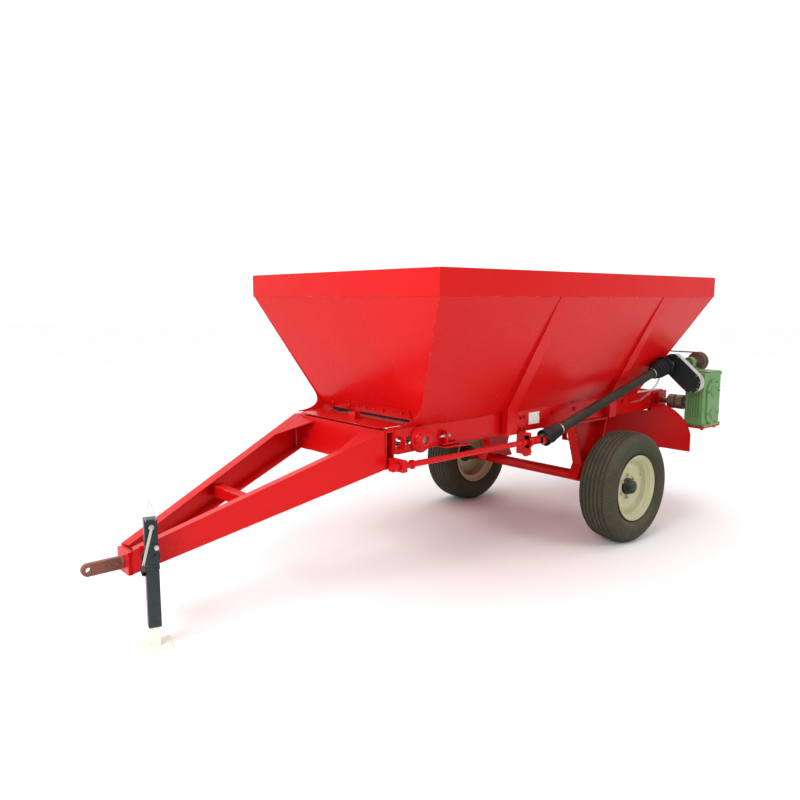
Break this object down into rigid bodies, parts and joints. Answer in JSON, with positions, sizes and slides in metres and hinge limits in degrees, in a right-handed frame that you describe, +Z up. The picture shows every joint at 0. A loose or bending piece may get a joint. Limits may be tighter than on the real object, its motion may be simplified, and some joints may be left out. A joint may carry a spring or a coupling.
{
  "type": "trailed hopper spreader",
  "caption": "Two-wheel trailed hopper spreader with sloped sides, chain floor, cardan side drive, twin rear spinner discs and A-frame drawbar with swivel eye and parking jack.",
  "frame": {"origin": "centre of the bounding box, on the ground", "axes": "+X to the rear (hitch at -X), +Y to the machine's right-hand side, +Z up"},
  "size_m": [4.807, 1.778, 1.811],
  "materials": {
    "red_paint": "gloss red enamel over sheet steel",
    "green_paint": "satin green machine enamel on cast iron",
    "cream_paint": "cream wheel enamel",
    "white_paint": "white enamel",
    "blue_paint": "dark blue-black enamel",
    "hub_paint": "dark green-black enamel",
    "tyre": "dusty tyre rubber",
    "belt": "brown-black belt rubber",
    "guard_plastic": "dark moulded guard plastic",
    "steel": "plain and zinc-plated steel",
    "eye_steel": "forged steel with red primer worn through",
    "label": "blank white plate"
  },
  "bodies": {
    "root": {"hopper_front_wall": "red_paint", "hopper_rear_wall": "red_paint", "hopper_left_wall": "red_paint", "hopper_right_wall": "red_paint", "hopper_rim": "red_paint", "front_strip": "red_paint", "hopper_floor": "red_paint", "left_rail": "red_paint", "right_rail": "red_paint", "front_crossbeam": "red_paint", "deck_plate": "red_paint", "right_drawbar_arm": "red_paint", "left_drawbar_arm": "red_paint", "drawbar_tie": "red_paint", "nose_block": "red_paint", "axle": "red_paint", "rear_guard_plate": "red_paint", "floor_chain": "steel", "drive_bearing_left": "red_paint", "drive_bearing_right": "red_paint", "shaft_hanger": "red_paint", "cardan_guard": "guard_plastic", "guard_chain": "steel", "chain_case": "steel", "chain_case_cover": "blue_paint", "case_chain": "steel", "reducer": "green_paint", "reducer_bracket": "red_paint", "bearing_shelf": "green_paint", "drive_belt": "belt", "bevel_gearbox": "green_paint", "bevel_bracket": "red_paint", "spinner_gear_case": "green_paint", "spinner_frame": "red_paint", "data_plate": "label", "jack_mount": "red_paint"},
    "left_wheel": {"left_tyre": "tyre", "left_rim": "cream_paint", "left_hub": "hub_paint"},
    "right_wheel": {"right_tyre": "tyre", "right_rim": "cream_paint", "right_hub": "hub_paint"},
    "hitch": {"hitch_eye": "eye_steel"},
    "jack_body": {"jack_tube": "blue_paint"},
    "jack_crank": {"jack_crank": "steel"},
    "jack_leg": {"jack_leg": "white_paint"},
    "take_up": {"take_up_bearing_left": "red_paint", "take_up_bearing_right": "red_paint"},
    "idler_shaft": {"conveyor_idler_shaft": "steel"},
    "drive_shaft": {"conveyor_drive_shaft": "steel"},
    "line_shaft": {"line_shaft": "red_paint"},
    "cardan": {"cardan_shaft": "steel"},
    "input_shaft": {"input_shaft": "steel", "input_pulley": "steel"},
    "reducer_input": {"reducer_input_shaft": "steel"},
    "bevel_input": {"spinner_pulley": "steel"},
    "spinner_shaft": {"spinner_shaft": "steel"},
    "disc_left": {"spinner_disc_left": "steel"},
    "disc_right": {"spinner_disc_right": "steel"},
    "gate": {"metering_gate": "red_paint"}
  },
  "joints": [
    {"name": "left_wheel_spin", "type": "hinge", "parent": "root", "child": "left_wheel", "pos_m": [0.9835, -0.743, 0.38], "axis": [0, 1, 0], "continuous": true},
    {"name": "right_wheel_spin", "type": "hinge", "parent": "root", "child": "right_wheel", "pos_m": [0.9835, 0.743, 0.38], "axis": [0, 1, 0], "continuous": true},
    {"name": "hitch_eye_swivel", "type": "hinge", "parent": "root", "child": "hitch", "pos_m": [-2.2055, 0, 0.389], "axis": [1, 0, 0], "continuous": true},
    {"name": "jack_swing", "type": "hinge", "parent": "root", "child": "jack_body", "pos_m": [-2.13522, -0.18026, 0.432], "axis": [-0.2809, -0.9597, 0], "range_deg": [0, 90]},
    {"name": "jack_crank_turn", "type": "hinge", "parent": "jack_body", "child": "jack_crank", "pos_m": [-2.15039, -0.23209, 0.602], "axis": [-0.2809, -0.9597, 0], "range_deg": [0, 9000]},
    {"name": "jack_leg_slide", "type": "slide", "parent": "jack_body", "child": "jack_leg", "axis": [0, 0, -1], "range_m": [0, 0.2501]},
    {"name": "take_up_slide", "type": "slide", "parent": "root", "child": "take_up", "axis": [1, 0, 0], "range_m": [0, 0.06]},
    {"name": "idler_spin", "type": "hinge", "parent": "take_up", "child": "idler_shaft", "pos_m": [-0.6595, 0, 0.868], "axis": [0, 1, 0], "continuous": true},
    {"name": "left_disc_spin", "type": "hinge", "parent": "root", "child": "disc_left", "pos_m": [2.1535, -0.27, 0.532], "axis": [0, 0, 1], "continuous": true},
    {"name": "right_disc_spin", "type": "hinge", "parent": "root", "child": "disc_right", "pos_m": [2.1535, 0.27, 0.532], "axis": [0, 0, 1], "continuous": true},
    {"name": "spinner_shaft_spin", "type": "hinge", "parent": "root", "child": "spinner_shaft", "pos_m": [2.0185, 0, 0.8], "axis": [0, 0, 1], "continuous": true},
    {"name": "bevel_input_spin", "type": "hinge", "parent": "root", "child": "bevel_input", "pos_m": [2.1205, 0, 1.172], "axis": [1, 0, 0], "continuous": true},
    {"name": "input_shaft_spin", "type": "hinge", "parent": "root", "child": "input_shaft", "pos_m": [1.8835, -0.655, 1.172], "axis": [1, 0, 0], "continuous": true},
    {"name": "cardan_spin", "type": "hinge", "parent": "root", "child": "cardan", "pos_m": [0.3435, -0.535, 0.755], "axis": [0.9482, -0.0879, 0.3053], "continuous": true},
    {"name": "line_shaft_spin", "type": "hinge", "parent": "root", "child": "line_shaft", "pos_m": [-0.3165, -0.535, 0.755], "axis": [1, 0, 0], "continuous": true},
    {"name": "reducer_input_spin", "type": "hinge", "parent": "root", "child": "reducer_input", "pos_m": [1.7835, -0.808, 1.045], "axis": [1, 0, 0], "continuous": true},
    {"name": "conveyor_drive_spin", "type": "hinge", "parent": "root", "child": "drive_shaft", "pos_m": [1.9135, 0, 0.868], "axis": [0, 1, 0], "continuous": true},
    {"name": "gate_slide", "type": "slide", "parent": "root", "child": "gate", "axis": [0.3304, 0, 0.9439], "range_m": [0, 0.22]}
  ],
  "couplings": [
    {"joint": "right_disc_spin", "follows": "left_disc_spin", "ratio": -1},
    {"joint": "spinner_shaft_spin", "follows": "left_disc_spin", "ratio": -1},
    {"joint": "bevel_input_spin", "follows": "left_disc_spin", "ratio": 1},
    {"joint": "input_shaft_spin", "follows": "left_disc_spin", "ratio": 1},
    {"joint": "cardan_spin", "follows": "left_disc_spin", "ratio": 1},
    {"joint": "line_shaft_spin", "follows": "left_disc_spin", "ratio": 1},
    {"joint": "reducer_input_spin", "follows": "left_disc_spin", "ratio": 1},
    {"joint": "conveyor_drive_spin", "follows": "left_disc_spin", "ratio": 0.033333},
    {"joint": "idler_spin", "follows": "left_disc_spin", "ratio": 0.033333},
    {"joint": "jack_leg_slide", "follows": "jack_crank_turn", "m_per_rad": 0.0015915}
  ]
}
